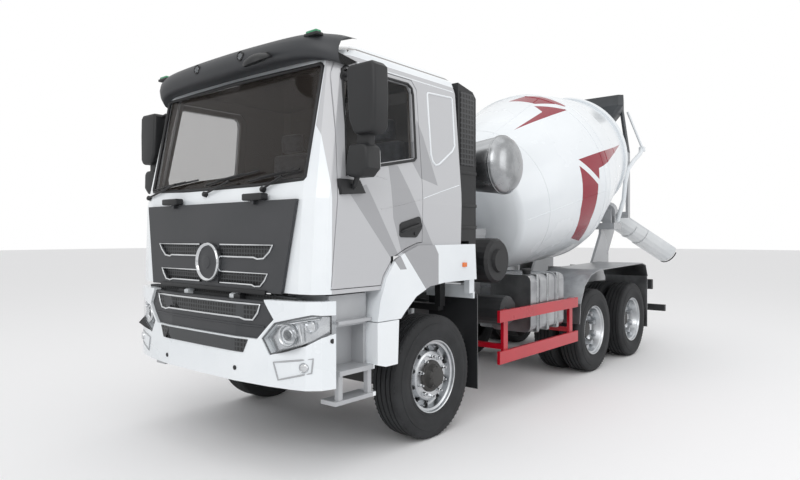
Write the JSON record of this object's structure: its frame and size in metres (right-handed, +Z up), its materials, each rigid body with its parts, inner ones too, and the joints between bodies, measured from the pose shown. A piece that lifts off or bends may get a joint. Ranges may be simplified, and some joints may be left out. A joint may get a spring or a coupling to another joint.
{
  "type": "concrete mixer truck",
  "caption": "Three-axle concrete mixer truck with forward-control tilting cab, tilted mixing drum, loading hopper, discharge funnel, swinging chute, red side guards and a stainless water tank.",
  "frame": {"origin": "on the ground under the middle of the truck's box", "axes": "+X to the vehicle's left, +Y to its rear, +Z up; the front faces -Y"},
  "size_m": [3.03, 9.2048, 3.9405],
  "materials": {
    "white_paint": "gloss",
    "grey_paint": "gloss",
    "charcoal_plastic": "matte",
    "black_plastic": "matte",
    "tyre_rubber": "matte",
    "stainless": "satin",
    "aluminium": "satin",
    "red_paint": "gloss",
    "chassis_paint": "satin",
    "cast_iron": "rough",
    "tinted_glass": "gloss",
    "lamp_lens": "gloss",
    "seat_cloth": "matte"
  },
  "bodies": {
    "chassis": {"frame": "chassis_paint", "front_axle": "cast_iron", "rear_axle_front": "cast_iron", "rear_axle_rear": "cast_iron", "rear_suspension": "chassis_paint", "engine": "cast_iron", "drive_shaft": "chassis_paint", "fuel_tank": "aluminium", "battery_box": "charcoal_plastic", "air_tank": "chassis_paint", "air_cleaner": "black_plastic", "snorkel": "black_plastic", "side_guard_left": "red_paint", "side_guard_right": "red_paint", "front_pedestal": "grey_paint", "water_tank": "stainless", "rear_pedestal": "grey_paint", "hopper": "charcoal_plastic", "discharge_funnel": "white_paint", "ladder": "aluminium", "chute_carrier": "chassis_paint", "fender_left": "white_paint", "fender_right": "white_paint", "step_left": "grey_paint", "step_right": "grey_paint", "bumper": "white_paint", "headlamp_left": "lamp_lens", "headlamp_right": "lamp_lens", "lower_grille": "charcoal_plastic", "rear_mudguard_left": "aluminium", "rear_mudguard_right": "aluminium", "rear_bar": "chassis_paint"},
    "cab": {"cab_shell": "white_paint", "windscreen": "tinted_glass", "sun_visor": "charcoal_plastic", "dashboard": "charcoal_plastic", "seats": "seat_cloth", "steering_wheel": "black_plastic"},
    "front_lid": {"front_panel": "charcoal_plastic"},
    "left_door": {"door_left": "grey_paint", "door_glass_left": "tinted_glass", "mirror_left": "black_plastic"},
    "right_door": {"door_right": "grey_paint", "door_glass_right": "tinted_glass", "mirror_right": "black_plastic"},
    "left_knuckle": {"knuckle_left": "cast_iron"},
    "right_knuckle": {"knuckle_right": "cast_iron"},
    "front_left_wheel": {"front_wheel_left": "tyre_rubber"},
    "front_right_wheel": {"front_wheel_right": "tyre_rubber"},
    "first_left_twins": {"twin_wheels_front_left": "tyre_rubber"},
    "first_right_twins": {"twin_wheels_front_right": "tyre_rubber"},
    "second_left_twins": {"twin_wheels_rear_left": "tyre_rubber"},
    "second_right_twins": {"twin_wheels_rear_right": "tyre_rubber"},
    "mixer_drum": {"drum": "white_paint"},
    "chute_arm": {"chute_swing": "chassis_paint"},
    "chute_trough": {"chute": "white_paint"},
    "chute_slide": {"chute_extension": "white_paint"}
  },
  "joints": [
    {"name": "cab_tilt", "type": "hinge", "parent": "chassis", "child": "cab", "pos_m": [0, -4.50235, 1.24551], "axis": [1, 0, 0], "range_deg": [0, 50]},
    {"name": "front_lid_hinge", "type": "hinge", "parent": "cab", "child": "front_lid", "pos_m": [0, -4.50235, 1.98051], "axis": [-1, 0, 0], "range_deg": [0, 80]},
    {"name": "left_door_hinge", "type": "hinge", "parent": "cab", "child": "left_door", "pos_m": [1.236, -4.34835, 1.99551], "axis": [0, 0, -1], "range_deg": [0, 70]},
    {"name": "right_door_hinge", "type": "hinge", "parent": "cab", "child": "right_door", "pos_m": [-1.236, -4.34835, 1.99551], "axis": [0, 0, 1], "range_deg": [0, 70]},
    {"name": "left_steering", "type": "hinge", "parent": "chassis", "child": "left_knuckle", "pos_m": [0.93, -3.10235, 0.52051], "axis": [0, 0, 1], "range_deg": [-35, 35]},
    {"name": "right_steering", "type": "hinge", "parent": "chassis", "child": "right_knuckle", "pos_m": [-0.93, -3.10235, 0.52051], "axis": [0, 0, 1], "range_deg": [-35, 35]},
    {"name": "front_left_spin", "type": "hinge", "parent": "left_knuckle", "child": "front_left_wheel", "pos_m": [1.06, -3.10235, 0.52051], "axis": [1, 0, 0], "continuous": true},
    {"name": "front_right_spin", "type": "hinge", "parent": "right_knuckle", "child": "front_right_wheel", "pos_m": [-1.06, -3.10235, 0.52051], "axis": [1, 0, 0], "continuous": true},
    {"name": "first_left_spin", "type": "hinge", "parent": "chassis", "child": "first_left_twins", "pos_m": [0.89, 0.29765, 0.52051], "axis": [1, 0, 0], "continuous": true},
    {"name": "first_right_spin", "type": "hinge", "parent": "chassis", "child": "first_right_twins", "pos_m": [-0.89, 0.29765, 0.52051], "axis": [1, 0, 0], "continuous": true},
    {"name": "second_left_spin", "type": "hinge", "parent": "chassis", "child": "second_left_twins", "pos_m": [0.89, 1.64765, 0.52051], "axis": [1, 0, 0], "continuous": true},
    {"name": "second_right_spin", "type": "hinge", "parent": "chassis", "child": "second_right_twins", "pos_m": [-0.89, 1.64765, 0.52051], "axis": [1, 0, 0], "continuous": true},
    {"name": "drum_spin", "type": "hinge", "parent": "chassis", "child": "mixer_drum", "pos_m": [0, -0.86035, 2.01951], "axis": [0, 0.9505, 0.3107], "continuous": true},
    {"name": "chute_swing", "type": "hinge", "parent": "chassis", "child": "chute_arm", "pos_m": [0, 3.07765, 2.24551], "axis": [0, 0, 1], "range_deg": [-50, 110]},
    {"name": "chute_tilt", "type": "hinge", "parent": "chute_arm", "child": "chute_trough", "pos_m": [0.105, 3.25951, 2.17551], "axis": [0.866, -0.5, 0], "range_deg": [-15, 25]},
    {"name": "chute_extend", "type": "slide", "parent": "chute_trough", "child": "chute_slide", "axis": [0.4415, 0.7647, -0.4695], "range_m": [0, 0.45]}
  ],
  "couplings": [
    {"joint": "right_steering", "follows": "left_steering", "ratio": 1}
  ]
}
